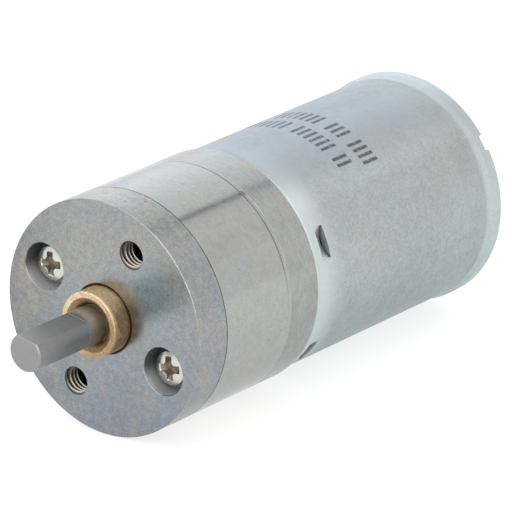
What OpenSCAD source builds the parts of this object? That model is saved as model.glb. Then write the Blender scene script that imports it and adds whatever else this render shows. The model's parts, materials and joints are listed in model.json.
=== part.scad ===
/* Geared DC motor: a four-stage spur gearbox in a round metal case, screwed to the
   front of a carbon-brush motor, with a D-shaped output shaft. All sizes in millimetres.
   The output shaft points along -Y and +Z is up. The origin is the centre of the
   gearbox's front face, and a depth is a distance behind that face, along +Y. */

/* [Gearbox case] */
// Outer diameter of the gearbox
gearbox_d = 25; // [25:0.1:26]
// Thickness of the front plate at its rim
front_plate_t = 4.4; // [4.2:0.1:6]
// Length of the ring between the two plates
gear_case_l = 10.3; // [10.2:0.1:13]
// Wall thickness of that ring
gear_case_wall = 1; // [0.8:0.1:1.2]
// Thickness of the rear plate at its rim
rear_plate_t = 4.4; // [4.2:0.1:6]

/* [Output shaft] */
// Diameter of the output shaft
shaft_d = 4; // [3.6:0.1:4]
// Length of the output shaft in front of the face
shaft_l = 12; // [9:0.5:20]
// Distance from the flat to the opposite side of the shaft
flat_across = 3.5; // [2.6:0.1:3.5]
// Length of the flat, from the shaft's end
flat_l = 7.75; // [3:0.25:8]
// Direction that the flat faces, from +X towards +Z
flat_angle = 80; // [0:5:180]
// Outer diameter of the bush that carries the shaft
bush_d = 7; // [6.6:0.1:7.4]
// How far the bush stands in front of the face
bush_proud = 2.3; // [1:0.1:3]

/* [Holes and screws] */
// Distance between the two mounting holes
mount_spacing = 17; // [16.8:0.1:17.2]
// Diameter of the mounting holes
mount_hole_d = 3; // [2.5:0.1:3]
// Direction of the upper mounting hole, from +X towards +Z
mount_angle = 63.5; // [60:0.5:67]
// Distance of the case screws from the axis
case_screw_r = 8.6; // [8.5:0.1:8.7]
// Diameter of the case screws' threads
case_screw_d = 2; // [1.6:0.1:2]
// Diameter of the counterbores over the case screws
counterbore_d = 5; // [4.6:0.1:5.2]

/* [Gear train] */
// Distance between the axes of each meshing pair
centre_distance = 6.4; // [6.3:0.05:6.4]
// Teeth on the motor's pinion
motor_teeth = 12; // [11:1:14]
// Teeth on each intermediate pinion
small_teeth = 10; // [10:1:12]
// Teeth on each intermediate wheel
large_teeth = 22; // [20:1:24]
// Teeth on the output wheel
output_teeth = 23; // [20:1:24]
// Diameter of the two fixed gear pins
pin_d = 1.5; // [1.2:0.1:1.5]

/* [Motor] */
// Outer diameter of the motor can
can_d = 24.4; // [24:0.1:24.6]
// Length of the motor can
can_l = 31.5; // [31:0.1:36]
// Wall thickness of the motor can
can_wall = 0.8; // [0.7:0.05:0.9]
// Outer diameter of the lip at the can's rear
lip_d = 25; // [24.8:0.1:25.2]
// Diameter of the motor's own shaft
rotor_shaft_d = 2; // [1.5:0.1:2]
// Outer diameter of the rotor's iron core
core_d = 16; // [15:0.1:16.4]

/* [Hidden] */
$fn = 96;

// Clearances: round running fits, end play of turning pieces, and cuts past a face
running = 0.02;
gear_running = 0.03;
end_play = 0.05;
past = 1;

// Depths of the case's joints
case_from = front_plate_t;
rear_plate_from = case_from + gear_case_l;
can_from = rear_plate_from + rear_plate_t;
can_to = can_from + can_l;

// Case: each plate's spigot centres it in the ring, and edges are broken
spigot_l = 0.5;
cavity_from = case_from + spigot_l;
cavity_to = rear_plate_from - spigot_l;
case_r = gearbox_d / 2;
case_bore_r = case_r - gear_case_wall;
face_edge = 0.08;
seam_edge = 0.09;
seam_groove = 0.12;
mount_r = mount_spacing / 2;
mount_angles = [mount_angle, mount_angle + 180];
case_screw_angles = [mount_angle + 90, mount_angle - 90];
hole_edge = 0.04;
counterbore_edge = 0.08;
tapped_l = 2.4;
pocket_r = 2.3;

// Output bush, with a narrower body in the plate, and the shaft, ground a little under size
// where it carries the flat and necked in the bush's mouth
bush_r = bush_d / 2;
bush_body_r = bush_r - 0.2;
bush_edge = 0.12;
bush_mouth = 0.85;
bush_mouth_l = 0.75;
bush_seat_edge = 0.47;
shaft_r = shaft_d / 2;
bush_mouth_r = shaft_r + running + bush_mouth;
shaft_edge = 0.15;
shaft_end_under = 0.015;
neck_deep = 0.2;
neck_l = 0.6;
neck_from = 0.46 - bush_proud;

// Case screws, pan head with a cross recess
head_r = 1.8;
head_crown = 0.85;
head_seat = 2.5;
head_dome_r = 5.5;
case_screw_clearance = 0.1;
case_screw_to = rear_plate_from + 2.9;
recess_r = 1.55;
recess_arm = 0.8;
recess_web = 1.5;
recess_deep = 0.7;
recess_turn = [4, 5];

// Motor screws, countersunk into the rear plate's front
motor_screw_r = 1.25;
motor_head_r = 2.2;
motor_head_l = motor_head_r - motor_screw_r;
motor_screw_clearance = 0.1;

// Gear layers from the front: 4 drives the shaft, 1 meets the motor's pinion
washer_t = 0.3;
output_washer_r = 3.1;
layer_gap = 0.2;
middle_gap = 0.3;
face_4 = 2.4;
face_3 = 2;
face_2 = 1.8;
layer_4 = cavity_from + washer_t + end_play;
layer_3 = layer_4 + face_4 + layer_gap;
layer_2 = layer_3 + face_3 + middle_gap;
layer_1 = layer_2 + face_2 + layer_gap;
layer_1_to = cavity_to - washer_t - end_play;
face_1 = layer_1_to - layer_1;

// Gear teeth: 20 degree involutes, shifted out on pinions and in on wheels
pressure_angle = 20;
shift = 0.4;
backlash = 0.07;
flank_steps = 4;
root_depth = 1.25;
module_1 = 2 * centre_distance / (motor_teeth + large_teeth);
module_23 = 2 * centre_distance / (small_teeth + large_teeth);
module_4 = 2 * centre_distance / (small_teeth + output_teeth);
pin_a = mount_angle - 30;
pin_b = mount_angle + 30;
pin_r = pin_d / 2;
pin_bite = 1.7;
pin_hole_r = pin_r + gear_running;
washer_r = 1.3;
hub_r = 1.45;

// Where one tooth of each gear stands, so that every pair is in mesh
tooth_0 = 0;
tooth_1 = meshed(pin_a, tooth_0, motor_teeth, large_teeth);
tooth_2 = meshed(pin_b + 60, tooth_1, small_teeth, large_teeth);
tooth_3 = meshed(pin_b - 120, tooth_2, small_teeth, large_teeth);
tooth_4 = meshed(pin_a + 180, tooth_3, small_teeth, output_teeth);

// Can: rounded front edge, a boss over the bearing, a wider lip at the rear
can_r = can_d / 2;
can_bore_r = can_r - can_wall;
can_front_t = 1;
can_edge = 0.9;
boss_r = 3.2;
boss_l = 1.5;
boss_gap = 0.05;
lip_r = lip_d / 2;
lip_l = 1.75;
lip_bore_r = lip_r - 0.75;
lip_bore_l = 2.2;
lip_flare = 0.9;
lip_edge = 0.15;
lip_notch_angles = [34, 124, 214, 304];
lip_notch_w = 1.7;
lip_notch_l = 0.65;
tab_t = 0.5;
tab_reach = 0.9;

// Lances: strips of the can's wall, sheared at the rear and pressed inwards as stops
pole_angle = -10;
lance_angles = [for (pole = [0, 180], side = [-31.5, 31.5]) pole_angle + pole + side];
lance_from = can_from + 1.5;
lance_slot = 1.35;
lance_strip = 1.13;
lance_half_angle = 8.1;
lance_sink = 0.55;
lance_tilt = 14;
lance_t = 0.6;
lance_bite = 0.05;

// Magnets and the clips that spread them
magnet_r = can_bore_r - 0.15;
magnet_bore_r = core_d / 2 + 0.4;
magnet_half_angle = 64;
magnet_from = lance_from + lance_slot + 0.25;
magnet_l = 20;
clip_t = 0.4;
clip_half_angle = 22;
clip_leg = 2;
clip_l = 14;

// End cap, bearings and brush gear
bearing_r = 2.5;
front_bearing_from = can_from - boss_l + 0.1;
front_bearing_l = 3.3;
cap_from = can_to - 3;
cap_to = can_to - 0.8;
cap_skirt_from = can_to - 6.4;
cap_skirt_t = 1;
cap_gap = 0.02;
cap_boss_r = 4;
cap_boss_to = can_to + 1.8;
rear_bearing_to = can_to + 0.8;
cap_mark_r = 0.8;
cap_mark_at = 5.6;
cap_mark_deep = 0.3;
terminal_r = 8.3;
terminal_w = 2.8;
terminal_t = 0.5;
terminal_to = can_to + 4.5;
terminal_hole_r = 0.6;
brush_from = can_to - 6.4;
brush_l = 2;
brush_w = 2.6;
brush_t = 1.3;
arm_t = 0.25;
arm_tail = 1.7;

// Rotor, from its front end: pinion, washer, core, commutator, washer
rotor_shaft_r = rotor_shaft_d / 2;
rotor_from = layer_1 - end_play;
rotor_to = can_to + 1.2;
pinion_to = rear_plate_from + 2;
front_washer_from = front_bearing_from + front_bearing_l + end_play;
rotor_washer_t = 0.4;
rotor_washer_r = 1.7;
core_r = core_d / 2;
core_from = can_from + 5.9;
core_l = 15;
core_hub_r = 2.6;
pole_w = 3.2;
shoe_t = 1.2;
shoe_half_angle = 51;
insulator_t = 0.6;
coil_half_w = 3.3;
coil_end = 1.8;
coil_gap = 0.05;
commutator_from = core_from + core_l + insulator_t + coil_end + 0.2;
flange_l = 0.8;
flange_r = 3.9;
commutator_r = 3;
segment_t = 0.5;
segment_gap = 0.4;
commutator_to = can_to - 4;
varistor_r = 5.5;
varistor_t = 0.8;

// ---------------------------------------------------------------- helpers

// Stands a shape, drawn as seen from the front with z towards the viewer, in the part's frame
module seen_from_front() rotate([90, 0, 0]) children();

// Round bar on the axis between two depths
module bar(r, from, to) translate([0, 0, -to]) cylinder(r = r, h = to - from);

// Cone on the axis whose radius runs from r_from to r_to
module cone(r_from, r_to, from, to) translate([0, 0, -to]) cylinder(r1 = r_to, r2 = r_from, h = to - from);

// Flat outline given thickness between two depths
module slab(from, to) translate([0, 0, -to]) linear_extrude(height = to - from) children();

// Solid of revolution from its [radius, depth] points
module turned(points) rotate_extrude() polygon([for (p = points) [p[0], -p[1]]]);

// Copies at a radius, one at each of some angles
module at(radius, angles) for (a = angles) rotate([0, 0, a]) translate([radius, 0, 0]) children();

// Disc between two depths with its front and rear edges broken
module disc(r, from, to, front_edge, rear_edge) turned([
    [0, from],
    [r - front_edge, from],
    [r, from + front_edge],
    [r, to - rear_edge],
    [r - rear_edge, to],
    [0, to]]);

// Flat ring between two depths
module ring(r, bore_r, from, to) difference() {
    bar(r, from, to);
    bar(bore_r, from - past, to + past);
}

// Wedge of a plane, wide enough for the case, centred on +X
module wedge(half_angle, reach = 30) {
    polygon([
        [0, 0],
        reach * [cos(half_angle), -sin(half_angle)],
        reach * [1, 0] / cos(half_angle / 2),
        reach * [cos(half_angle), sin(half_angle)]]);
}

// Part of a flat ring, centred on +X
module arc_strip(r, bore_r, half_angle) intersection() {
    difference() {
        circle(r = r);
        circle(r = bore_r);
    }
    wedge(half_angle);
}

// ---------------------------------------------------------------- gear teeth

// Involute of an angle, in degrees
function involute(a) = tan(a) * 180 / PI - a;

// Half of a tooth's angle at radius r, for a gear of modul m, z teeth and profile shift x
function half_tooth(r, m, z, x) =
    let (
        width = m * (PI / 2 + 2 * x * tan(pressure_angle)) - backlash / 2,
        base = m * z / 2 * cos(pressure_angle)
    )
    width / (m * z) * 180 / PI + involute(pressure_angle) - involute(acos(base / r));

// One flank of a tooth as [radius, half angle] points, from the root to the tip
function flank(m, z, x) =
    let (
        base = m * z / 2 * cos(pressure_angle),
        root = m * (z / 2 - root_depth + x),
        tip = m * (z / 2 + 1 + x),
        low = max(base, root)
    )
    concat(
        root < base ? [[root, half_tooth(low, m, z, x)]] : [],
        [for (k = [0 : flank_steps])
            let (r = low + (tip - low) * k / flank_steps) [r, half_tooth(r, m, z, x)]]);

// Outline of a gear with one tooth at the angle first
module teeth(m, z, x, first) {
    side = flank(m, z, x);
    count = len(side);
    polygon([
        for (i = [0 : z - 1], up = [true, false], k = [0 : count - 1])
            let (
                p = side[up ? k : count - 1 - k],
                a = first + 360 * i / z + (up ? -p[1] : p[1])
            )
            p[0] * [cos(a), sin(a)]]);
}

// Angle of a driven gear's tooth, for a driver with a tooth at first, seen along the
// direction towards the driven gear
function meshed(towards, first, driver_z, driven_z) =
    towards + 180 + 180 / driven_z + (towards - first) * driver_z / driven_z;

// ---------------------------------------------------------------- gearbox case

module pin_holes() for (a = [pin_a, pin_b]) at(centre_distance, [a])
    bar(pin_r, cavity_from - pin_bite, cavity_to + pin_bite);

module front_plate() color([0.62, 0.63, 0.64]) seen_from_front() difference() {
    union() {
        disc(case_r, 0, case_from, face_edge, seam_groove);
        disc(case_bore_r - running, case_from - past, cavity_from, 0, seam_edge);
    }
    bar(bush_body_r, -past, cavity_from + past);
    cone(bush_body_r + bush_seat_edge, bush_body_r, 0, bush_seat_edge);
    at(mount_r, mount_angles) {
        bar(mount_hole_d / 2, -past, cavity_from + past);
        cone(mount_hole_d / 2 + hole_edge, mount_hole_d / 2, 0, hole_edge);
        bar(pocket_r, tapped_l, cavity_from + past);
    }
    at(case_screw_r, case_screw_angles) {
        bar(counterbore_d / 2, -past, head_seat);
        cone(counterbore_d / 2 + counterbore_edge, counterbore_d / 2, 0, counterbore_edge);
        bar(case_screw_d / 2 + case_screw_clearance, head_seat, cavity_from + past);
    }
    pin_holes();
}

module output_bush() color([0.72, 0.58, 0.38]) seen_from_front() difference() {
    union() {
        disc(bush_r, -bush_proud, 0, bush_edge, 0);
        disc(bush_body_r, -bush_edge, cavity_from, 0, bush_edge);
    }
    bar(shaft_r + running, -bush_proud - past, cavity_from + past);
    cone(bush_mouth_r, shaft_r + running, -bush_proud, bush_mouth_l - bush_proud);
}

module gear_case() color([0.68, 0.68, 0.66]) seen_from_front() difference() {
    bar(case_r, case_from, rear_plate_from);
    bar(case_bore_r, case_from - past, rear_plate_from + past);
}

module rear_plate() color([0.66, 0.66, 0.65]) seen_from_front() difference() {
    union() {
        disc(case_r, rear_plate_from, can_from, seam_edge / 2, seam_edge);
        disc(case_bore_r - running, cavity_to, rear_plate_from + past, seam_edge, 0);
    }
    bar(boss_r + boss_gap, cavity_to - past, can_from + past);
    at(mount_r, mount_angles) {
        bar(motor_screw_r + motor_screw_clearance, cavity_to - past, can_from + past);
        cone(motor_head_r, motor_screw_r, cavity_to, cavity_to + motor_head_l);
    }
    at(case_screw_r, case_screw_angles) bar(case_screw_d / 2, cavity_to - past, case_screw_to);
    pin_holes();
}

// Cross recess that narrows as it goes in, with its mouth at the crown of a head
module cross_recess(crown, turn) intersection() {
    cone(recess_r, recess_r / 2, crown - recess_deep / 9, crown + recess_deep);
    rotate([0, 0, turn]) slab(crown - past, crown + recess_deep) union() {
        square([2 * recess_r, recess_arm], center = true);
        square([recess_arm, 2 * recess_r], center = true);
        rotate([0, 0, 45]) square(recess_web, center = true);
    }
}

module case_screws() color([0.84, 0.84, 0.8]) seen_from_front()
    for (i = [0, 1]) at(case_screw_r, [case_screw_angles[i]]) difference() {
        union() {
            bar(case_screw_d / 2, head_seat - past, case_screw_to);
            intersection() {
                bar(head_r, head_crown, head_seat);
                translate([0, 0, -head_crown - head_dome_r]) sphere(r = head_dome_r);
            }
        }
        cross_recess(head_crown, recess_turn[i] - case_screw_angles[i]);
    }

module motor_screws() color([0.8, 0.8, 0.78]) seen_from_front()
    at(mount_r, mount_angles) difference() {
        union() {
            cone(motor_head_r, motor_screw_r, cavity_to, cavity_to + motor_head_l);
            bar(motor_screw_r, cavity_to + motor_head_l, can_from + can_front_t);
        }
        cross_recess(cavity_to, 0);
    }

// ---------------------------------------------------------------- gears

module gear_pins() color([0.75, 0.75, 0.76]) seen_from_front() pin_holes();

// Washers on both pins, and sleeves that hold the second gear in its layers
module pin_washers() color([0.78, 0.7, 0.5]) seen_from_front() {
    at(centre_distance, [pin_a]) {
        ring(washer_r, pin_r, cavity_from, cavity_from + washer_t);
        ring(washer_r, pin_r, layer_2 - middle_gap + end_play, layer_2 - end_play);
        ring(washer_r, pin_r, cavity_to - washer_t, cavity_to);
    }
    at(centre_distance, [pin_b]) {
        ring(washer_r, pin_r, cavity_from, layer_3);
        ring(washer_r, pin_r, layer_1 - layer_gap + end_play, cavity_to);
    }
}

// Brass wheel pressed on the hub of its pinion
module wheel(pin, m, first, from, face) color([0.83, 0.68, 0.38]) seen_from_front()
    at(centre_distance, [pin]) rotate([0, 0, -pin]) difference() {
        slab(from, from + face) teeth(m, large_teeth, -shift, first);
        bar(hub_r, from - past, from + face + past);
    }

// Steel pinion with a plain hub behind its teeth, free on its pin
module small_pinion(pin, m, first, from, teeth_to, to) color([0.6, 0.6, 0.62]) seen_from_front()
    at(centre_distance, [pin]) rotate([0, 0, -pin]) difference() {
        union() {
            slab(from, teeth_to) teeth(m, small_teeth, shift, first);
            bar(hub_r, from, to);
        }
        bar(pin_hole_r, from - past, to + past);
    }

module gear_1_wheel() wheel(pin_a, module_1, tooth_1, layer_1, face_1);
module gear_1_pinion() small_pinion(pin_a, module_23, tooth_1, layer_2, layer_1, layer_1_to);
module gear_2_wheel() wheel(pin_b, module_23, tooth_2, layer_2, face_2);
module gear_2_pinion() small_pinion(pin_b, module_23, tooth_2, layer_3 + end_play, layer_2, layer_2 + face_2);
module gear_3_wheel() wheel(pin_a, module_23, tooth_3, layer_3, face_3);
module gear_3_pinion() small_pinion(pin_a, module_4, tooth_3, layer_4, layer_3, layer_3 + face_3);

module output_gear() color([0.62, 0.62, 0.6]) seen_from_front() difference() {
    slab(layer_4, layer_4 + face_4) teeth(module_4, output_teeth, -shift, tooth_4);
    bar(shaft_r, layer_4 - past, layer_4 + face_4 + past);
}

module output_washer() color([0.78, 0.78, 0.76]) seen_from_front()
    ring(output_washer_r, shaft_r, cavity_from + end_play, layer_4);

module output_shaft()
    color([0.55, 0.55, 0.56])
        seen_from_front() rotate([0, 0, flat_angle]) difference() {
            union() {
                disc(shaft_r - shaft_end_under, -shaft_l, flat_l - shaft_l, shaft_edge, 0);
                disc(shaft_r, flat_l - shaft_l, layer_4 + face_4, 0, shaft_edge);
            }
            ring(shaft_r + past, shaft_r - neck_deep, neck_from, neck_from + neck_l);
            translate([flat_across - shaft_r, -shaft_d, shaft_l - flat_l])
                cube([shaft_d, 2 * shaft_d, flat_l + past]);
        }

// ---------------------------------------------------------------- motor case

// Outer form of the can: a round front edge, and a flare into the wider lip
module can_body() rotate_extrude() union() {
    translate([0, -can_to]) square([can_r - can_edge, can_l]);
    translate([0, -can_to]) square([can_r, can_l - can_edge]);
    translate([can_r - can_edge, -can_from - can_edge]) circle(r = can_edge);
    polygon([
        [0, -can_to],
        [lip_r - lip_edge, -can_to],
        [lip_r, -can_to + lip_edge],
        [lip_r, -can_to + lip_l - lip_flare / 3],
        [can_r + (lip_r - can_r) / 4, -can_to + lip_l + lip_flare / 3],
        [can_r, -can_to + lip_l + lip_flare],
        [0, -can_to + lip_l + lip_flare]]);
}

// Strip of wall between the ends of its slot, bowed inwards and deepest at its rear edge
module lance() {
    chord = can_r * cos(lance_half_angle);
    half_chord = can_r * sin(lance_half_angle);
    bow_r = (half_chord * half_chord + lance_sink * lance_sink) / (2 * lance_sink);
    intersection() {
        translate([chord - lance_sink + bow_r, 0, -lance_from - lance_strip])
            rotate([0, lance_tilt, 0]) difference() {
                cylinder(r = bow_r + lance_t, h = 6 * lance_strip, center = true);
                cylinder(r = bow_r, h = 8 * lance_strip, center = true);
            }
        slab(lance_from - lance_bite, lance_from + lance_strip) intersection() {
            circle(r = can_r - lance_bite);
            wedge(lance_half_angle + 1);
        }
    }
}

module motor_can() color([0.7, 0.73, 0.73]) seen_from_front() {
    difference() {
        union() {
            can_body();
            disc(boss_r, can_from - boss_l, can_from + past, face_edge, 0);
        }
        bar(can_bore_r, can_from + can_front_t, can_to + past);
        bar(lip_bore_r, can_to - lip_bore_l, can_to + past);
        bar(bearing_r, can_from - boss_l - past, can_from + can_front_t + past);
        at(mount_r, mount_angles) bar(motor_screw_r, can_from - past, can_from + can_front_t + past);
        for (a = lance_angles) rotate([0, 0, a]) slab(lance_from, lance_from + lance_slot)
            arc_strip(can_r + past, can_bore_r - past, lance_half_angle);
        at(lip_r, lip_notch_angles) slab(can_to - lip_notch_l, can_to + past)
            square([4 * can_wall, lip_notch_w], center = true);
    }
    for (a = lance_angles) rotate([0, 0, a]) lance();
    for (a = lip_notch_angles) rotate([0, 0, a])
        slab(can_to - lip_notch_l - tab_t / 2, can_to - lip_notch_l + tab_t / 2)
            translate([lip_bore_r - tab_reach / 2, 0])
                square([2 * tab_reach, lip_notch_w], center = true);
}

module magnets() color([0.25, 0.25, 0.26]) seen_from_front()
    for (pole = [0, 180]) rotate([0, 0, pole_angle + pole])
        slab(magnet_from, magnet_from + magnet_l)
            arc_strip(magnet_r, magnet_bore_r, magnet_half_angle);

// Bent spring clips that press the magnets apart
module magnet_springs() color([0.6, 0.6, 0.62]) seen_from_front()
    for (side = [90, 270]) rotate([0, 0, pole_angle + side])
        slab(magnet_from + 3, magnet_from + 3 + clip_l) {
            arc_strip(can_bore_r, can_bore_r - clip_t, clip_half_angle);
            for (end = [-1, 1]) rotate([0, 0, end * clip_half_angle])
                translate([can_bore_r - clip_leg, -clip_t / 2]) square([clip_leg - clip_t / 2, clip_t]);
        }

module end_cap() color([0.92, 0.92, 0.9]) seen_from_front() difference() {
    union() {
        bar(can_bore_r - cap_gap, cap_skirt_from, cap_to);
        bar(lip_bore_r - cap_gap, can_to - lip_bore_l, cap_to);
        disc(cap_boss_r, cap_to - past, cap_boss_to, 0, 2 * face_edge);
    }
    bar(can_bore_r - cap_skirt_t, cap_skirt_from - past, cap_from);
    bar(bearing_r, cap_from - past, rear_bearing_to);
    bar(rotor_shaft_r + end_play * 2, rear_bearing_to - past, cap_boss_to + past);
    at(terminal_r, terminal_angles()) slab(cap_from - past, cap_to + past)
        square([terminal_t, terminal_w], center = true);
    at(lip_bore_r, lip_notch_angles) slab(can_to - lip_notch_l - tab_t / 2, cap_to + past)
        square([3 * tab_reach, lip_notch_w + 2 * cap_gap], center = true);
    at(cap_mark_at, [pole_angle + 60]) bar(cap_mark_r, cap_to - cap_mark_deep, cap_to + past);
}

module sintered_bearing(from, to) color([0.7, 0.55, 0.36]) seen_from_front()
    ring(bearing_r, rotor_shaft_r + running, from, to);

module front_bearing() sintered_bearing(front_bearing_from, front_bearing_from + front_bearing_l);
module rear_bearing() sintered_bearing(cap_from, rear_bearing_to);

// ---------------------------------------------------------------- brush gear

function terminal_angles() = [pole_angle + 90, pole_angle + 270];

module terminals() color([0.86, 0.72, 0.42]) seen_from_front()
    at(terminal_r, terminal_angles()) difference() {
        slab(brush_from, terminal_to) square([terminal_t, terminal_w], center = true);
        translate([-past, 0, -terminal_to + terminal_w / 2]) rotate([0, 90, 0])
            cylinder(r = terminal_hole_r, h = 2 * past);
    }

// Leaf springs from the terminals along both sides of the commutator
module brush_arms() color([0.8, 0.52, 0.34]) seen_from_front()
    for (a = terminal_angles()) rotate([0, 0, a]) slab(brush_from, brush_from + brush_l) {
        reach = commutator_r + running + brush_t;
        translate([-arm_tail, -reach - arm_t]) square([terminal_r + arm_tail + arm_t / 2, arm_t]);
        translate([terminal_r - arm_t / 2, -reach - arm_t]) square([arm_t, reach + arm_t - terminal_w / 2]);
    }

module carbon_brushes() color([0.16, 0.15, 0.15]) seen_from_front()
    for (a = terminal_angles()) rotate([0, 0, a]) difference() {
        slab(brush_from, brush_from + brush_l)
            translate([-brush_w / 2, -commutator_r - running - brush_t])
                square([brush_w, brush_t + commutator_r / 6]);
        bar(commutator_r + running, brush_from - past, brush_from + brush_l + past);
    }

// ---------------------------------------------------------------- rotor

module rotor_shaft() color([0.78, 0.78, 0.8]) seen_from_front()
    disc(rotor_shaft_r, rotor_from, rotor_to, 0, shaft_edge);

module motor_pinion() color([0.83, 0.68, 0.38]) seen_from_front() difference() {
    slab(rotor_from, pinion_to) teeth(module_1, motor_teeth, shift, tooth_0);
    bar(rotor_shaft_r, rotor_from - past, pinion_to + past);
}

// Outline of the three-pole core, with its bore
module core_outline() difference() {
    union() {
        circle(r = core_hub_r);
        for (a = [0, 120, 240]) rotate([0, 0, a]) {
            translate([0, -pole_w / 2]) square([core_r - shoe_t / 2, pole_w]);
            arc_strip(core_r, core_r - shoe_t, shoe_half_angle);
        }
    }
    circle(r = rotor_shaft_r);
}

module rotor_core() color([0.5, 0.5, 0.52]) seen_from_front()
    slab(core_from, core_from + core_l) core_outline();

module rotor_insulators() color([0.25, 0.45, 0.3]) seen_from_front() {
    slab(core_from - insulator_t, core_from) core_outline();
    slab(core_from + core_l, core_from + core_l + insulator_t) core_outline();
}

// Three coils, each wound round one pole between the hub and the shoe
module windings() color([0.72, 0.36, 0.2]) seen_from_front()
    for (a = [0, 120, 240]) rotate([0, 0, a]) difference() {
        wound_from = core_from - insulator_t;
        wound_to = core_from + core_l + insulator_t;
        intersection() {
            slab(wound_from - coil_end, wound_to + coil_end)
                translate([core_hub_r + coil_gap, -coil_half_w]) square([core_r, 2 * coil_half_w]);
            bar(core_r - shoe_t - coil_gap, wound_from - coil_end, wound_to + coil_end);
        }
        slab(wound_from, wound_to) translate([0, -pole_w / 2 - coil_gap])
            square([core_r, pole_w + 2 * coil_gap]);
    }

module commutator_hub() color([0.3, 0.2, 0.15]) seen_from_front() difference() {
    union() {
        bar(flange_r, commutator_from, commutator_from + flange_l);
        bar(commutator_r - segment_t, commutator_from, commutator_to);
    }
    bar(rotor_shaft_r, commutator_from - past, commutator_to + past);
}

module commutator_segments() color([0.8, 0.48, 0.3]) seen_from_front()
    slab(commutator_from + flange_l, commutator_to - end_play) difference() {
        circle(r = commutator_r);
        circle(r = commutator_r - segment_t);
        for (a = [60, 180, 300]) rotate([0, 0, a])
            translate([0, -segment_gap / 2]) square([2 * commutator_r, segment_gap]);
    }

module varistor_ring() color([0.2, 0.3, 0.5]) seen_from_front()
    ring(varistor_r, flange_r, commutator_from, commutator_from + varistor_t);

module rotor_washers() color([0.9, 0.88, 0.8]) seen_from_front() {
    ring(rotor_washer_r, rotor_shaft_r, front_washer_from, front_washer_from + rotor_washer_t);
    ring(rotor_washer_r, rotor_shaft_r, cap_from - end_play - rotor_washer_t, cap_from - end_play);
}

front_plate();
output_bush();
gear_case();
rear_plate();
case_screws();
motor_screws();
gear_pins();
pin_washers();
motor_can();
front_bearing();
magnets();
magnet_springs();
end_cap();
rear_bearing();
terminals();
brush_arms();
carbon_brushes();
rotor_shaft();
motor_pinion();
rotor_core();
rotor_insulators();
windings();
commutator_hub();
commutator_segments();
varistor_ring();
rotor_washers();
gear_1_wheel();
gear_1_pinion();
gear_2_wheel();
gear_2_pinion();
gear_3_wheel();
gear_3_pinion();
output_gear();
output_washer();
output_shaft();
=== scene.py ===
"""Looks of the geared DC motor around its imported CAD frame. Metres; the output shaft points along -Y."""

import json
import math

import bmesh
import bpy
from mathutils import Matrix, Vector


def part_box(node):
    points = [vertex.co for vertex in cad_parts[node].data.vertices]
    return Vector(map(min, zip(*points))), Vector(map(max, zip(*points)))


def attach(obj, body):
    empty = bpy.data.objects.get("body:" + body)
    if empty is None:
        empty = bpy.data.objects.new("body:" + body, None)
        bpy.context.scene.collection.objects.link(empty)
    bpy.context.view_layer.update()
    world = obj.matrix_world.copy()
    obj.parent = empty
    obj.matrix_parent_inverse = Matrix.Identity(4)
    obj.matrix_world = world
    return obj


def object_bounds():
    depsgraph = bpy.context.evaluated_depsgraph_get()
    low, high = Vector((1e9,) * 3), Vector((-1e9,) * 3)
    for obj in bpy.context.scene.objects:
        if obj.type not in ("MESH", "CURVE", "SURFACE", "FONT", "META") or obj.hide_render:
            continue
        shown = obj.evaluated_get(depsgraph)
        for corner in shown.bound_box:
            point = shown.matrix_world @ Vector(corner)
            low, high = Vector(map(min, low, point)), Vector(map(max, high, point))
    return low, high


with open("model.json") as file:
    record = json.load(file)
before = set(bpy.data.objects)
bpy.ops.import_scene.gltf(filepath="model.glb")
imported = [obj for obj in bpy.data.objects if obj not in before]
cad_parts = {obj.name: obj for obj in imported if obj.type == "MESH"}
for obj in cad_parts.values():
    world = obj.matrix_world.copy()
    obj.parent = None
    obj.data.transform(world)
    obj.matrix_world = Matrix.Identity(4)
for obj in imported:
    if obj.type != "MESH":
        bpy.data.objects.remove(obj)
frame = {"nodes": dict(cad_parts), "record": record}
cad_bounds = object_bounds()
MM = 0.001


def mm(*values):
    return tuple(v * MM for v in values)


# ---------------------------------------------------------------- camera

CAMERA_AT = Vector((0.32040, -0.37455, 0.19018))
CAMERA_TO = Vector((0.001036, 0.023095, 0.000226))
CAMERA_ROLL = math.radians(-0.46)
CAMERA_LENS = 372.0

camera = bpy.data.objects.new("camera", bpy.data.cameras.new("camera"))
bpy.context.scene.collection.objects.link(camera)
camera.data.lens = CAMERA_LENS
camera.data.sensor_width = 36.0
camera.data.clip_start = 0.01
camera.data.clip_end = 20.0
turn = (CAMERA_TO - CAMERA_AT).to_track_quat("-Z", "Y").to_matrix().to_4x4()
camera.matrix_world = Matrix.Translation(CAMERA_AT) @ turn @ Matrix.Rotation(CAMERA_ROLL, 4, "Z")
bpy.context.scene.camera = camera
bpy.context.scene.view_settings.view_transform = "Standard"


# ---------------------------------------------------------------- places on the part

MOUNT_ANGLE = math.radians(63.5)  # of the upper mounting hole, from +X towards +Z
# In millimetres
SCREW_HEAD_R = 1.8
SCREW_DOME_R = 5.5
SCREW_RECESS_R = 1.55
COUNTERBORE_R = 2.5
TAPPED_R = 1.5
BUSH_SEAT_R = 3.77  # outer edge of the bevel round the bush
SHAFT_FLAT_L = 7.75
NECK_FROM = 0.46  # start of the shaft's neck, behind the bush's face


def two_sides(x, z):
    """The (x, z) of a feature and of its twin across the shaft"""
    return [(x, z), (-x, -z)]


mount_row = next(row for row in frame["record"]["mounts"] if row["name"] == "front_holes")
mount_r = mount_row["dims"]["pcd_mm"] / 2 * MM
mount_holes = two_sides(mount_r * math.cos(MOUNT_ANGLE), mount_r * math.sin(MOUNT_ANGLE))
screws_low, screws_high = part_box("case_screws")
case_screws = two_sides(SCREW_HEAD_R * MM - screws_high[0], screws_high[2] - SCREW_HEAD_R * MM)


# ---------------------------------------------------------------- shader nodes


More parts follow.
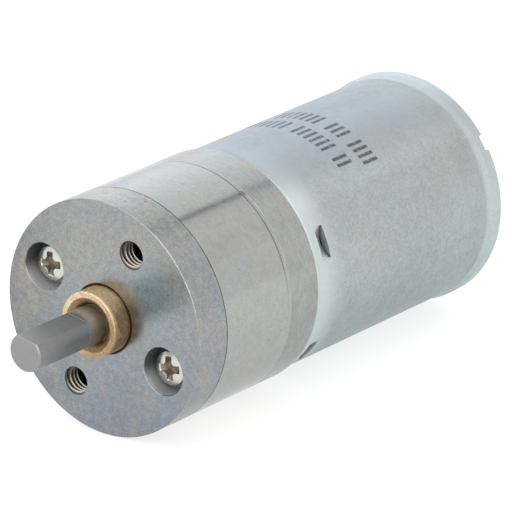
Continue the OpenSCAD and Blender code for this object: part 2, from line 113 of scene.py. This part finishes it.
def srgb(*channels):
    """Linear colour, with alpha, from 0-255 display values"""
    linear = [(c / 255 / 12.92) if c <= 10 else ((c / 255 + 0.055) / 1.055) ** 2.4 for c in channels]
    return (*linear, 1.0)


class Nodes:
    """A node tree; each method adds nodes and returns the socket that holds the result"""

    def __init__(self, tree):
        self.tree = tree

    def add(self, kind, inputs=(), **settings):
        """Returns the node itself"""
        node = self.tree.nodes.new("ShaderNode" + kind)
        for name, value in settings.items():
            setattr(node, name, value)
        for key, value in dict(inputs).items():
            self.put(node.inputs[key], value)
        return node

    def put(self, socket, value):
        if isinstance(value, bpy.types.NodeSocket):
            self.tree.links.new(value, socket)
        else:
            socket.default_value = value

    def math(self, operation, *values):
        return self.add("Math", enumerate(values), operation=operation).outputs[0]

    def times(self, first, *others):
        for other in others:
            first = self.math("MULTIPLY", first, other)
        return first

    def vector(self, operation, *values):
        """The result of a vector operation that gives a vector"""
        return self.add("VectorMath", enumerate(values), operation=operation).outputs[0]

    def measure(self, operation, *values):
        """The result of a vector operation that gives a number"""
        return self.add("VectorMath", enumerate(values), operation=operation).outputs["Value"]

    def split(self, vector):
        return self.add("SeparateXYZ", {0: vector}).outputs

    def join(self, *parts):
        return self.add("CombineXYZ", enumerate(parts)).outputs[0]

    def noise(self, vector, scale, detail=2.0, roughness=0.5):
        inputs = {"Vector": vector, "Scale": scale, "Detail": detail, "Roughness": roughness}
        return self.add("TexNoise", inputs).outputs[0]

    def cells(self, vector, scale):
        return self.add("TexVoronoi", {"Vector": vector, "Scale": scale}).outputs["Distance"]

    def ramp(self, value, low, high, start=0.0, end=1.0):
        """start below low, end above high, and a smooth change between"""
        inputs = {0: value, 1: low, 2: high, 3: start, 4: end}
        return self.add("MapRange", inputs, interpolation_type="SMOOTHSTEP").outputs[0]

    def between(self, value, low, high, soft):
        """1 from low to high, 0 outside, with edges that are soft on either side"""
        rise = self.ramp(value, low - soft, low + soft)
        return self.times(rise, self.ramp(value, high - soft, high + soft, 1.0, 0.0))

    def mix(self, factor, a, b, blend="MIX"):
        node = self.add("Mix", {"Factor": factor}, data_type="RGBA", blend_type=blend)
        self.put(node.inputs[6], a)
        self.put(node.inputs[7], b)
        return node.outputs[2]


class Surface(Nodes):
    """A material on the part's own coordinates, built up from a base colour, roughness and height"""

    def __init__(self, name, base, roughness, metallic=1.0):
        self.material = bpy.data.materials.new(name)
        self.material.use_nodes = True
        super().__init__(self.material.node_tree)
        self.shader = self.tree.nodes["Principled BSDF"]
        self.metal = metallic
        self.at = self.add("TexCoord").outputs["Object"]
        self.x, self.y, self.z = self.split(self.at)
        self.colour = base
        self.roughness = roughness
        self.normal = None

    # places

    def fade(self, value, low_mm, high_mm, start=0.0, end=1.0, origin=0.0):
        """ramp() over a length, from low_mm to high_mm past the origin, which is in metres"""
        return self.ramp(value, origin + low_mm * MM, origin + high_mm * MM, start, end)

    def radius(self):
        return self.measure("LENGTH", self.join(self.x, 0.0, self.z))

    def off_line(self, x, z):
        """Distance from the line along Y at (x, z)"""
        return self.measure("DISTANCE", self.join(self.x, 0.0, self.z), (x, 0.0, z))

    def off_point(self, point):
        return self.measure("DISTANCE", self.at, point)

    def along(self, direction):
        return self.measure("DOT_PRODUCT", self.at, direction)

    def shifted(self, *offset_mm):
        """Coordinates for a noise that doesn't follow the others"""
        return self.vector("ADD", self.at, mm(*offset_mm))

    def lathe(self, around, across):
        """Coordinates that run round the axis slowly and across the turning lines fast"""
        rx, _, rz = self.split(self.vector("NORMALIZE", self.join(self.x, 0.0, self.z)))
        depth = self.math("ADD", self.radius(), self.y)
        return self.join(self.times(rx, around), self.times(rz, around), self.times(depth, across))

    def edges(self, radius_mm):
        """1 near an edge, 0 away from it"""
        soft = self.add("Bevel", {"Radius": radius_mm * MM}, samples=4).outputs[0]
        true = self.add("NewGeometry").outputs["Normal"]
        return self.ramp(self.measure("DOT_PRODUCT", soft, true), 0.80, 0.97, 1.0, 0.0)

    # looks

    def tint(self, factor, colour):
        self.colour = self.mix(factor, self.colour, colour)

    def shade(self, factor, dark, light):
        """Multiplies the colour by a grey that runs from dark to light"""
        grey = self.ramp(factor, 0.25, 0.75, dark, light)
        self.colour = self.mix(1.0, self.colour, self.join(grey, grey, grey), "MULTIPLY")

    def painted_highlight(self, direction, low_mm, high_mm, light):
        """Painted highlight: multiplies the colour by light, on the side that faces the direction"""
        self.shade(self.fade(self.along(direction), low_mm, high_mm, 0.25, 0.75), 1.0, light)

    def rough(self, factor, low, high):
        self.roughness = self.ramp(factor, 0.25, 0.75, low, high)

    def matte(self, factor, colour, metal):
        """Dull matter where factor is 1"""
        self.tint(factor, colour)
        self.metal = self.ramp(factor, 0.0, 1.0, self.metal, metal)

    def bump(self, height, depth_mm):
        inputs = {"Height": height, "Distance": depth_mm * MM}
        if self.normal is not None:
            inputs["Normal"] = self.normal
        self.normal = self.add("Bump", inputs).outputs[0]

    def soften(self, radius_mm):
        """Rounds the look of sharp edges, before any bump"""
        self.normal = self.add("Bevel", {"Radius": radius_mm * MM}, samples=4).outputs[0]

    def done(self):
        self.put(self.shader.inputs["Base Color"], self.colour)
        self.put(self.shader.inputs["Metallic"], self.metal)
        self.put(self.shader.inputs["Roughness"], self.roughness)
        if self.normal is not None:
            self.put(self.shader.inputs["Normal"], self.normal)
        return self.material


# ---------------------------------------------------------------- materials seen from outside

# Two small dark marks on the front plate's side: y in millimetres, then the angle from +X to +Z in degrees
PLATE_MARKS = ((1.70, 82.1), (3.37, 76.6))

# Printed rows: y of the row in millimetres, then the first and last angle of each group of bars in degrees
INK_ROWS = (
    (30.0, ((50.7, 58.5), (62.4, 85.8), (89.7, 117.0))),
    (33.5, ((46.8, 62.4), (66.3, 78.0), (81.9, 109.2))),
)
INK_BAR_PITCH = 3.9  # degrees
INK_BAR_HALF_L = 1.15 * MM


def plate_zinc():
    """Satin zinc face: cloudy tan, blue and mauve mottling over a fine grain"""
    s = Surface("plate_zinc", srgb(156, 158, 156), 0.26)
    # Painted shade: the plate turns darker and bluer towards the bottom, and darker towards the left
    s.tint(s.fade(s.z, -10.0, 8.0, 0.9, 0.0), srgb(136, 144, 153))
    s.tint(s.fade(s.x, -11.5, -3.0, 0.75, 0.0), srgb(130, 131, 131))
    tan = s.noise(s.at, 260.0, 4.0, 0.6)
    s.tint(s.ramp(tan, 0.45, 0.70, 0.0, 0.75), srgb(160, 156, 147))
    # Blue mottling at random, weighted to the lower half, where it also adds painted shade
    blue = s.ramp(s.noise(s.shifted(31.0, 7.0, 12.0), 210.0, 4.0, 0.62), 0.45, 0.68, 0.0, 0.9)
    s.tint(s.times(blue, s.fade(s.z, 0.0, 9.0, 1.0, 0.3)), srgb(142, 151, 163))
    mauve = s.noise(s.shifted(3.0, 17.0, 42.0), 420.0, 3.0, 0.6)
    s.tint(s.ramp(mauve, 0.52, 0.72, 0.0, 0.5), srgb(157, 153, 156))
    # Painted reflection and shadow of the bush and shaft: a blue-dark patch on the face beside the bush
    bush_reflection_shade = s.off_point(mm(6.2, 0.0, 3.2))
    s.tint(s.fade(bush_reflection_shade, 1.5, 4.5, 0.6, 0.0), srgb(146, 168, 182))
    grain = s.noise(s.at, 5200.0, 3.0, 0.65)
    s.shade(grain, 0.80, 1.12)
    s.shade(s.noise(s.at, 1500.0, 3.0, 0.6), 0.86, 1.08)
    pits = s.cells(s.at, 900.0)
    s.shade(s.ramp(pits, 0.05, 0.12, 0.3, 0.7), 0.86, 1.0)
    plate_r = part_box("front_plate")[1][2]
    for depth, angle in PLATE_MARKS:
        a = math.radians(angle)
        mark = s.off_point((plate_r * math.cos(a), depth * MM, plate_r * math.sin(a)))
        s.tint(s.fade(mark, 0.10, 0.20, 0.7, 0.0), srgb(95, 95, 105))
    s.rough(s.noise(s.at, 700.0, 4.0, 0.6), 0.22, 0.32)

    for x, z in case_screws:
        near_screw = s.fade(s.off_line(x, z), 0.2, 0.3, 1.0, 0.0, COUNTERBORE_R * MM)
        counterbore = s.times(near_screw, s.fade(s.y, 0.09, 0.14))
        s.matte(counterbore, srgb(168, 170, 171), 0.15)
        # Painted shade: the upper part of each counterbore's wall is dark
        upper = s.fade(s.math("SUBTRACT", s.z, z), -1.7, 0.2, 0.0, 0.93)
        s.tint(s.times(counterbore, upper), srgb(66, 69, 70))
    # Painted highlight on the upper right of the rim
    s.painted_highlight((0.66, 0.0, 0.75), 12.1, 12.48, 1.13)
    # Painted shade: the rim's side is darker at the bottom
    below = s.times(s.fade(s.y, 0.3, 0.6), s.fade(s.z, -8.0, -4.0, 0.5, 0.0))
    s.tint(below, srgb(116, 114, 108))
    near_bush = s.fade(s.radius(), 0.01, 0.05, 1.0, 0.0, BUSH_SEAT_R * MM)
    s.matte(s.times(near_bush, s.fade(s.y, 0.01, 0.03)), srgb(92, 68, 44), 0.15)
    # Painted shade: the wall of each mounting hole is dark
    near_hole = s.fade(off_mount_hole(s), 0.03, 0.06, 1.0, 0.0, TAPPED_R * MM)
    s.matte(s.times(near_hole, s.fade(s.y, 0.03, 0.06)), srgb(62, 60, 56), 0.15)

    s.soften(0.02)
    s.bump(grain, 0.003)
    s.bump(s.noise(s.at, 1100.0), 0.003)
    return s.done()


def off_mount_hole(s):
    """Distance from the axis of the nearer mounting hole"""
    return s.math("MINIMUM", *(s.off_line(x, z) for x, z in mount_holes))


def cut_thread():
    """Cut thread: bright crests, with painted shade down the flanks and on the upper side of each hole"""
    s = Surface("cut_thread", srgb(190, 182, 170), 0.26)
    # Painted shade: the thread is darker on the upper side of each hole
    above_axis = s.math("SUBTRACT", s.z, s.times(s.math("SIGN", s.z), mount_holes[0][1]))
    s.tint(s.fade(above_axis, -0.5, 0.3, 0.0, 0.95), srgb(92, 93, 92))
    # Painted shade: dull and dark towards the root, between the crests
    s.matte(s.fade(off_mount_hole(s), -0.21, -0.08, origin=TAPPED_R * MM), srgb(84, 76, 66), 0.2)
    grain = s.noise(s.at, 3200.0, 3.0, 0.65)
    s.shade(grain, 0.92, 1.06)
    s.rough(grain, 0.22, 0.32)
    s.bump(grain, 0.003)
    return s.done()


def ring_steel(name, base, low, roughness, line_depth, specks):
    """Ground steel: fine turning lines, faint clouds and dark specks, with painted shade on the lower half and
    on the upper side of the seam where two rings meet, and a painted highlight on the upper right
    """
    s = Surface(name, base, roughness)
    # Painted shade: darker towards the low colour on the lower half
    s.tint(s.fade(s.z, 0.0, 6.0, 0.9, 0.0), low)
    clouds = s.noise(s.at, 330.0, 5.0, 0.65)
    s.tint(s.ramp(clouds, 0.40, 0.70, 0.0, 0.6), srgb(162, 164, 157))
    cool = s.noise(s.shifted(11.0, 3.0, 5.0), 240.0, 4.0, 0.6)
    s.tint(s.ramp(cool, 0.48, 0.70, 0.0, 0.6), srgb(160, 166, 170))
    lines = s.noise(s.lathe(9.0, 5200.0), 1.0, 4.0, 0.7)
    s.shade(lines, 1.0 - line_depth, 1.0 + line_depth)
    s.shade(s.noise(s.at, 4300.0, 2.0, 0.6), 0.93, 1.05)
    s.shade(s.noise(s.at, 1300.0, 3.0, 0.6), 0.95, 1.04)
    spots = s.cells(s.at, 480.0)
    s.shade(s.ramp(spots, 0.05, 0.12, 0.25, 0.75), specks, 1.0)
    # Painted highlight on the upper right
    s.painted_highlight((0.62, 0.0, 0.78), 12.1, 12.48, 1.07)
    s.shader.inputs["Specular Tint"].default_value = (0.88, 0.88, 0.90, 1.0)
    # Painted shade in the seam where the two rings meet, on its upper side only
    off_seam = s.math("ABSOLUTE", s.math("SUBTRACT", s.y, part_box("rear_plate")[0][1]))
    seam = s.times(s.fade(off_seam, 0.06, 0.12, 1.0, 0.0), s.fade(s.z, -2.0, 7.0, 0.0, 0.8))
    s.matte(seam, srgb(88, 90, 92), 0.5)
    s.rough(s.noise(s.at, 900.0, 4.0, 0.6), roughness - 0.03, roughness + 0.04)
    s.soften(0.02)
    s.bump(lines, 0.0006)
    s.bump(s.noise(s.at, 2600.0, 3.0), 0.0006)
    return s.done()


def can_galvanized():
    """Zinc-coated sheet: pale blue-green satin with a fine grain, and rows of plain ink bars"""
    front, rear, can_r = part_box("rear_plate")[1][1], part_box("motor_can")[1][1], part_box("motor_can")[1][2]
    s = Surface("can_galvanized", srgb(165, 174, 175), 0.42, 0.85)
    clouds = s.noise(s.at, 170.0, 4.0, 0.55)
    s.tint(s.ramp(clouds, 0.42, 0.68, 0.0, 0.7), srgb(165, 170, 167))
    # Painted shade: the can turns darker and bluer towards the bottom, most along the middle of its length
    s.tint(s.fade(s.z, -11.0, 3.0, 0.85, 0.0), srgb(134, 148, 151))
    middle = s.between(s.y, front + 12.0 * MM, front + 23.0 * MM, 4.0 * MM)
    s.tint(s.times(middle, s.fade(s.z, 2.0, 7.0, 0.35, 0.0)), srgb(147, 156, 156))
    s.shade(s.noise(s.at, 3600.0, 3.0, 0.7), 0.88, 1.09)
    s.shade(s.noise(s.at, 900.0, 3.0, 0.6), 0.94, 1.05)
    # Painted highlight: a lighter band at the front of the can, strongest on top
    painted_light_front_band = s.fade(s.y, 0.8, 5.3, 1.0, 0.0, front)
    s.tint(s.times(painted_light_front_band, s.fade(s.z, 2.0, 8.0, 0.75, 1.0)), srgb(196, 205, 206))
    # Painted shade: darker and bluer on top, ahead of the lip
    shaded_ahead_of_lip = s.fade(s.y, -8.0, -3.0, 1.0, 0.6, rear)
    s.tint(s.times(shaded_ahead_of_lip, s.fade(s.z, 8.0, 12.0, 0.0, 0.8)), srgb(146, 153, 162))
    # Painted highlights: lighter on the upper right shoulder, leaving out the lip, and on the top of the lip
    lip = s.fade(s.y, -2.6, -2.0, origin=rear)
    painted_light_shoulder = s.fade(s.along((0.47, 0.0, 0.88)), 10.6, 12.1, 0.25, 0.75)
    s.shade(s.math("SUBTRACT", painted_light_shoulder, lip), 1.0, 1.13)
    s.tint(s.times(lip, s.fade(s.z, 9.5, 12.0, 0.42, 0.62)), srgb(196, 205, 210))
    # Painted shadow in the pressed lances: dark where the sheet sinks below the can's surface
    sunk = s.fade(s.math("SUBTRACT", can_r, s.radius()), 0.42, 0.85)
    lance_painted_shadow = s.times(sunk, s.fade(s.y, 8.0, 9.0, 1.0, 0.0, front))
    s.matte(s.times(lance_painted_shadow, s.fade(s.z, -1.0, 3.0, 0.5, 0.62)), srgb(78, 84, 87), 0.2)
    # Painted shade in the crease ahead of the lip
    neck = s.between(s.y, rear - 5.6 * MM, rear - 2.6 * MM, 0.7 * MM)
    s.tint(s.times(neck, 0.20), srgb(150, 155, 158))
    s.tint(ink_bars(s), srgb(58, 62, 76))
    s.rough(s.noise(s.at, 1300.0, 3.0, 0.6), 0.38, 0.48)
    s.soften(0.05)
    s.bump(s.noise(s.at, 4200.0, 3.0, 0.7), 0.005)
    s.bump(s.noise(s.at, 600.0), 0.008)
    return s.done()


def ink_bars(s):
    """Two rows of plain bars round the can, in place of any marking"""
    angle = s.times(s.math("ARCTAN2", s.z, s.x), 180 / math.pi)
    wear = s.ramp(s.noise(s.at, 3300.0, 3.0, 0.7), 0.34, 0.52, 0.45, 0.85)
    bars = s.between(s.math("FRACT", s.math("DIVIDE", angle, INK_BAR_PITCH)), 0.26, 0.74, 0.10)
    marks = 0.0
    for depth, groups in INK_ROWS:
        row = s.between(s.y, depth * MM - INK_BAR_HALF_L, depth * MM + INK_BAR_HALF_L, 0.07 * MM)
        for first, last in groups:
            marks = s.math("MAXIMUM", marks, s.times(s.between(angle, first, last, 0.1), row))
    return s.times(marks, bars, wear)


def sintered_bronze():
    """Pressed bronze powder: golden tan with open pores and brown patches on the side; painted shade on the
    side, the face's lower right and the mouth, and a painted highlight on top of the side
    """
    s = Surface("sintered_bronze", srgb(223, 198, 164), 0.55, 0.8)
    # Painted shade: the face darkens towards the lower right
    lower_right_shade = s.math("SUBTRACT", s.x, s.z)
    s.tint(s.fade(lower_right_shade, -1.0, 4.5, 0.0, 0.95), srgb(176, 148, 114))
    # Painted shade: the side is darker than the face, most on its right, with a painted highlight on its top
    side = s.fade(s.y, 0.30, 0.55, origin=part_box("output_bush")[0][1])
    s.tint(side, srgb(199, 169, 133))
    s.tint(s.times(side, s.fade(s.x, 1.6, 3.2, 0.0, 0.85)), srgb(134, 110, 84))
    s.tint(s.times(side, s.fade(s.z, 1.5, 3.3, 0.0, 0.6)), srgb(220, 194, 160))
    # Painted shade in the mouth: darker tan on the cone, dark brown deep round the shaft
    s.tint(s.fade(s.radius(), 2.93, 2.83, 0.0, 0.8), srgb(176, 145, 106))
    s.tint(s.fade(s.radius(), 2.55, 2.15), srgb(120, 92, 62))
    brown = s.ramp(s.noise(s.at, 520.0, 3.0, 0.55), 0.46, 0.62, 0.0, 0.55)
    s.tint(s.times(side, brown), srgb(148, 112, 80))
    gold = s.ramp(s.noise(s.shifted(9.0, 4.0, 2.0), 610.0, 3.0, 0.55), 0.48, 0.62, 0.0, 0.6)
    s.tint(s.times(side, gold), srgb(206, 178, 132))
    s.shade(s.noise(s.at, 900.0, 4.0, 0.6), 0.88, 1.06)
    pores = s.cells(s.at, 5200.0)
    s.shade(s.ramp(pores, 0.12, 0.40, 0.2, 0.8), 0.62, 1.05)
    grain = s.noise(s.at, 6400.0, 3.0, 0.7)
    s.shade(grain, 0.66, 1.26)
    s.rough(grain, 0.46, 0.62)
    s.soften(0.05)
    s.bump(pores, 0.012)
    return s.done()


def shaft_steel():
    """Ground shaft: fine lines round it, painted highlights on the flat's edges and on top behind the flat,
    and a greasy neck inside the bush
    """
    s = Surface("shaft_steel", srgb(146, 146, 145), 0.36)
    lines = s.noise(s.lathe(3.0, 7000.0), 1.0)
    s.shade(lines, 0.96, 1.03)
    s.shade(s.noise(s.at, 1500.0, 3.0, 0.6), 0.96, 1.03)
    s.rough(s.noise(s.at, 1200.0, 3.0), 0.34, 0.40)
    flat_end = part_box("output_shaft")[0][1] + SHAFT_FLAT_L * MM
    # Painted highlight along the edges, left off the small step where the flat ends on the round
    round_step = s.times(
        s.between(s.y, flat_end - 0.12 * MM, flat_end + 0.12 * MM, 0.02 * MM),
        s.fade(s.radius(), 1.90, 1.96),
    )
    s.tint(s.times(s.edges(0.07), s.math("SUBTRACT", 0.7, s.times(round_step, 0.7))), srgb(215, 215, 212))
    # Painted highlight on top of the shaft, behind the flat's end
    crest = s.times(s.fade(s.y, 0.0, 0.3, origin=flat_end), s.fade(s.z, 0.3, 1.7, 0.0, 0.6))
    s.tint(crest, srgb(184, 180, 172))
    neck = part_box("output_bush")[0][1] + NECK_FROM * MM
    s.matte(s.fade(s.y, -0.06, 0.04, origin=neck), srgb(170, 148, 118), 0.2)
    s.soften(0.05)
    s.bump(lines, 0.0004)
    return s.done()


def screw_nickel():
    """Bright plated screws, with painted shade down in the recesses: dull dark brown, darker with depth"""
    s = Surface("screw_nickel", srgb(204, 203, 194), 0.22)
    s.shade(s.noise(s.at, 2400.0, 3.0, 0.6), 0.93, 1.05)
    worn = s.ramp(s.noise(s.at, 2900.0), 0.48, 0.62, 0.0, 0.55)
    for x, z in case_screws:
        off = s.off_line(x, z)
        dome = s.math("ADD", s.math("DIVIDE", s.times(off, off), 2 * SCREW_DOME_R * MM), screws_low[1])
        depth = s.math("SUBTRACT", s.y, dome)
        recess = s.times(s.fade(depth, 0.02, 0.14), s.fade(off, -0.10, 0.05, 1.0, 0.0, SCREW_RECESS_R * MM))
        # Painted shade: dull dark brown in each recess, darker with depth
        s.matte(s.times(recess, s.fade(depth, 0.30, 0.60, 0.80, 0.95)), srgb(88, 74, 57), 0.3)
        s.tint(s.times(recess, worn), srgb(140, 125, 108))
    s.rough(s.noise(s.at, 1800.0, 3.0), 0.18, 0.30)
    s.soften(0.10)
    s.bump(s.noise(s.at, 3800.0), 0.003)
    return s.done()


# ---------------------------------------------------------------- materials of the hidden and smaller pieces


def plain_metal(name, base, roughness, cloud):
    """Cut or rolled metal: slow clouds and a fine grain"""
    s = Surface(name, base, roughness)
    s.shade(s.noise(s.at, 700.0, 4.0, 0.6), 1.0 - cloud, 1.0 + cloud / 2)
    grain = s.noise(s.at, 3200.0, 3.0, 0.65)
    s.shade(grain, 0.94, 1.05)
    s.rough(grain, roughness - 0.05, roughness + 0.06)
    s.soften(0.05)
    s.bump(grain, 0.003)
    return s.done()


def plain_solid(name, base, roughness, speck, speck_scale=2600.0, bump_mm=0.006):
    """Moulded, pressed or fired matter: even colour with a fine speckle"""
    s = Surface(name, base, roughness, 0.0)
    specks = s.noise(s.at, speck_scale, 4.0, 0.7)
    s.shade(specks, 1.0 - speck, 1.0 + speck / 2)
    s.shade(s.noise(s.at, 500.0, 3.0), 0.95, 1.03)
    s.rough(specks, roughness - 0.07, roughness + 0.08)
    s.soften(0.08)
    s.bump(specks, bump_mm)
    return s.done()


def banded(name, base, dark, roughness, metallic, pitch_mm, share):
    """Turns or layers that repeat along the shaft, with dark gaps up to share of a ridge's height"""
    s = Surface(name, base, roughness, metallic)
    phase = s.math("FRACT", s.math("DIVIDE", s.y, pitch_mm * MM))
    ridge = s.math("SINE", s.times(phase, math.pi))
    s.tint(s.ramp(ridge, share, 0.0, 0.0, 0.8), dark)
    s.shade(s.noise(s.at, 1900.0, 3.0, 0.6), 0.90, 1.05)
    s.rough(ridge, roughness + 0.1, roughness)
    s.bump(ridge, pitch_mm * 0.3)
    return s.done()


materials = {
    "plate_zinc": plate_zinc(),
    "ring_steel": ring_steel("ring_steel", srgb(168, 169, 166), srgb(164, 165, 162), 0.15, 0.03, 0.80),
    "can_galvanized": can_galvanized(),
    "sintered_bronze": sintered_bronze(),
    "shaft_steel": shaft_steel(),
    "screw_nickel": screw_nickel(),
    "gear_steel": plain_metal("gear_steel", srgb(178, 178, 180), 0.30, 0.06),
    "gear_brass": plain_metal("gear_brass", srgb(222, 190, 120), 0.26, 0.08),
    "washer_brass": plain_metal("washer_brass", srgb(214, 190, 138), 0.28, 0.08),
    "magnet_ferrite": plain_solid("magnet_ferrite", srgb(66, 66, 70), 0.62, 0.16),
    "spring_steel": plain_metal("spring_steel", srgb(150, 152, 156), 0.26, 0.05),
    "cap_nylon": plain_solid("cap_nylon", srgb(206, 205, 197), 0.50, 0.05, 1500.0, 0.010),
    "terminal_brass": plain_metal("terminal_brass", srgb(226, 206, 150), 0.24, 0.06),
    "copper": plain_metal("copper", srgb(222, 158, 122), 0.25, 0.10),
    "enamelled_copper": banded(
        "enamelled_copper", srgb(198, 104, 62), srgb(92, 38, 22), 0.22, 0.9, pitch_mm=0.30, share=0.35
    ),
    "carbon": plain_solid("carbon", srgb(48, 47, 47), 0.48, 0.20, 5200.0, 0.004),
    "core_iron": banded(
        "core_iron", srgb(150, 151, 155), srgb(70, 71, 75), 0.34, 1.0, pitch_mm=0.50, share=0.25
    ),
    "insulator_fibre": plain_solid("insulator_fibre", srgb(84, 130, 98), 0.55, 0.12),
    "hub_phenolic": plain_solid("hub_phenolic", srgb(96, 66, 50), 0.45, 0.14),
    "varistor_ceramic": plain_solid("varistor_ceramic", srgb(82, 98, 130), 0.55, 0.10),
    "washer_nylon": plain_solid("washer_nylon", srgb(236, 230, 212), 0.42, 0.04),
}
slot_of = {row["node"]: row["material_slot"] for row in frame["record"]["subparts"]}
# The rear plate has the ring's slot, but a coarser finish
own_material = {
    "rear_plate": ring_steel("rear_steel", srgb(164, 166, 163), srgb(146, 148, 145), 0.22, 0.09, 0.95),
}
for node, thing in frame["nodes"].items():
    thing.data.materials.clear()
    thing.data.materials.append(own_material.get(node, materials[slot_of[node]]))


# ---------------------------------------------------------------- screw threads in the mounting holes

# In millimetres
THREAD_L = 2.4
THREAD_PITCH = 0.5
THREAD_RIDGE = 0.27
THREAD_SUNK = 0.04  # how far the ridge's root reaches into the wall
THREAD_END_RISE = 0.02  # the crest's place outside the hole where the ridge runs out
# As shares of the pitch
ROOT_HALF_WIDTH = 0.42
CREST_HALF_WIDTH = 0.10
FIRST_TURN = 0.44
THREAD_START = math.radians(130.0)
THREAD_SIDES = 56
RUN_OUT_SIDES = THREAD_SIDES / 3


def thread(bm, centre):
    """One helical ridge inside a hole, with closed ends"""
    steps = int((THREAD_L / THREAD_PITCH - 2 * ROOT_HALF_WIDTH) * THREAD_SIDES)
    root_r, crest_r, end_r = TAPPED_R + THREAD_SUNK, TAPPED_R - THREAD_RIDGE, TAPPED_R + THREAD_END_RISE
    rings = []
    for i in range(steps + 1):
        angle = 2 * math.pi * i / THREAD_SIDES + THREAD_START
        height = min(1.0, i / RUN_OUT_SIDES, (steps - i) / RUN_OUT_SIDES)
        top_r = end_r - (end_r - crest_r) * height
        profile = (
            (root_r, -ROOT_HALF_WIDTH),
            (top_r, -CREST_HALF_WIDTH),
            (top_r, CREST_HALF_WIDTH),
            (root_r, ROOT_HALF_WIDTH),
        )
        row = []
        for r, shift in profile:
            y = (FIRST_TURN + i / THREAD_SIDES + shift) * THREAD_PITCH
            from_centre = Vector(mm(r * math.cos(angle), y, r * math.sin(angle)))
            row.append(bm.verts.new(from_centre + Vector((centre[0], 0.0, centre[1]))))
        rings.append(row)
    for a, b in zip(rings, rings[1:]):
        for k in range(4):
            bm.faces.new((a[k], a[(k + 1) % 4], b[(k + 1) % 4], b[k]))
    bm.faces.new(rings[0][::-1])
    bm.faces.new(rings[-1])


bm = bmesh.new()
for hole in mount_holes:
    thread(bm, hole)
bmesh.ops.recalc_face_normals(bm, faces=bm.faces)
mesh = bpy.data.meshes.new("mount_threads")
bm.to_mesh(mesh)
bm.free()
threads = bpy.data.objects.new("mount_threads", mesh)
bpy.context.scene.collection.objects.link(threads)
mesh.materials.append(cut_thread())
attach(threads, "housing")


# ---------------------------------------------------------------- floor

FLOOR_REACH = 6.0
FLOOR_GREY = 0.36
FLOOR_EMISSION = 0.74

floor_z = cad_bounds[0][2]
corners = ((-1, -1), (1, -1), (1, 1), (-1, 1))
floor_mesh = bpy.data.meshes.new("floor")
points = [(x * FLOOR_REACH, y * FLOOR_REACH, floor_z) for x, y in corners]
floor_mesh.from_pydata(points, [], [(0, 1, 2, 3)])
floor = bpy.data.objects.new("floor", floor_mesh)
bpy.context.scene.collection.objects.link(floor)
floor_paint = bpy.data.materials.new("floor")
floor_paint.use_nodes = True
paper = floor_paint.node_tree.nodes["Principled BSDF"]
paper.inputs["Base Color"].default_value = (FLOOR_GREY, FLOOR_GREY, FLOOR_GREY, 1.0)
paper.inputs["Roughness"].default_value = 0.9
paper.inputs["Specular IOR Level"].default_value = 0.0
paper.inputs["Emission Color"].default_value = (1.0, 1.0, 1.0, 1.0)
paper.inputs["Emission Strength"].default_value = FLOOR_EMISSION
floor_mesh.materials.append(floor_paint)


# ---------------------------------------------------------------- light: a white room with soft panels

KEY_FROM = (CAMERA_AT - CAMERA_TO).normalized()
KEY_LIGHT = 0.9
UPPER_FROM = (-0.25, -0.50, 0.83)
UPPER_LIGHT = 0.6
LEFT_WHITE = srgb(246, 251, 255)
RIGHT_WHITE = srgb(255, 254, 252)
GAP_COLOUR = (0.20, 0.27, 0.34, 1.0)

world = bpy.data.worlds.new("studio")
bpy.context.scene.world = world
world.use_nodes = True
w = Nodes(world.node_tree)
toward = w.add("TexCoord").outputs["Generated"]
wx, wy, wz = w.split(toward)
behind = w.ramp(wy, 0.0, 0.4)

room = w.ramp(wz, 0.30, 0.70, 1.10, 1.0)
left_panel = w.times(
    behind,
    w.ramp(wx, -0.70, 0.0, 0.60, 0.18),
    w.ramp(wz, -0.10, 0.30, 0.0, 1.0),
    w.ramp(wx, 0.0, 0.05, 1.0, 0.0),
)
key_panel = w.ramp(w.measure("DOT_PRODUCT", toward, tuple(KEY_FROM)), 0.66, 0.92, 0.0, KEY_LIGHT)
upper_panel = w.ramp(w.measure("DOT_PRODUCT", toward, UPPER_FROM), 0.70, 0.92, 0.0, UPPER_LIGHT)
light = room
for panel in (left_panel, key_panel, upper_panel):
    light = w.math("ADD", light, panel)

# The dark gap beside the left panel makes the streak along the case
gap = w.times(w.between(wx, -0.004, 0.057, 0.012), w.between(wz, 0.45, 0.9, 0.08), behind)
tone = w.mix(gap, w.mix(w.ramp(wx, -0.6, 0.2), LEFT_WHITE, RIGHT_WHITE), GAP_COLOUR)
background = world.node_tree.nodes["Background"]
background.inputs["Strength"].default_value = 1.0
w.put(background.inputs["Color"], w.mix(1.0, tone, w.join(light, light, light), "MULTIPLY"))
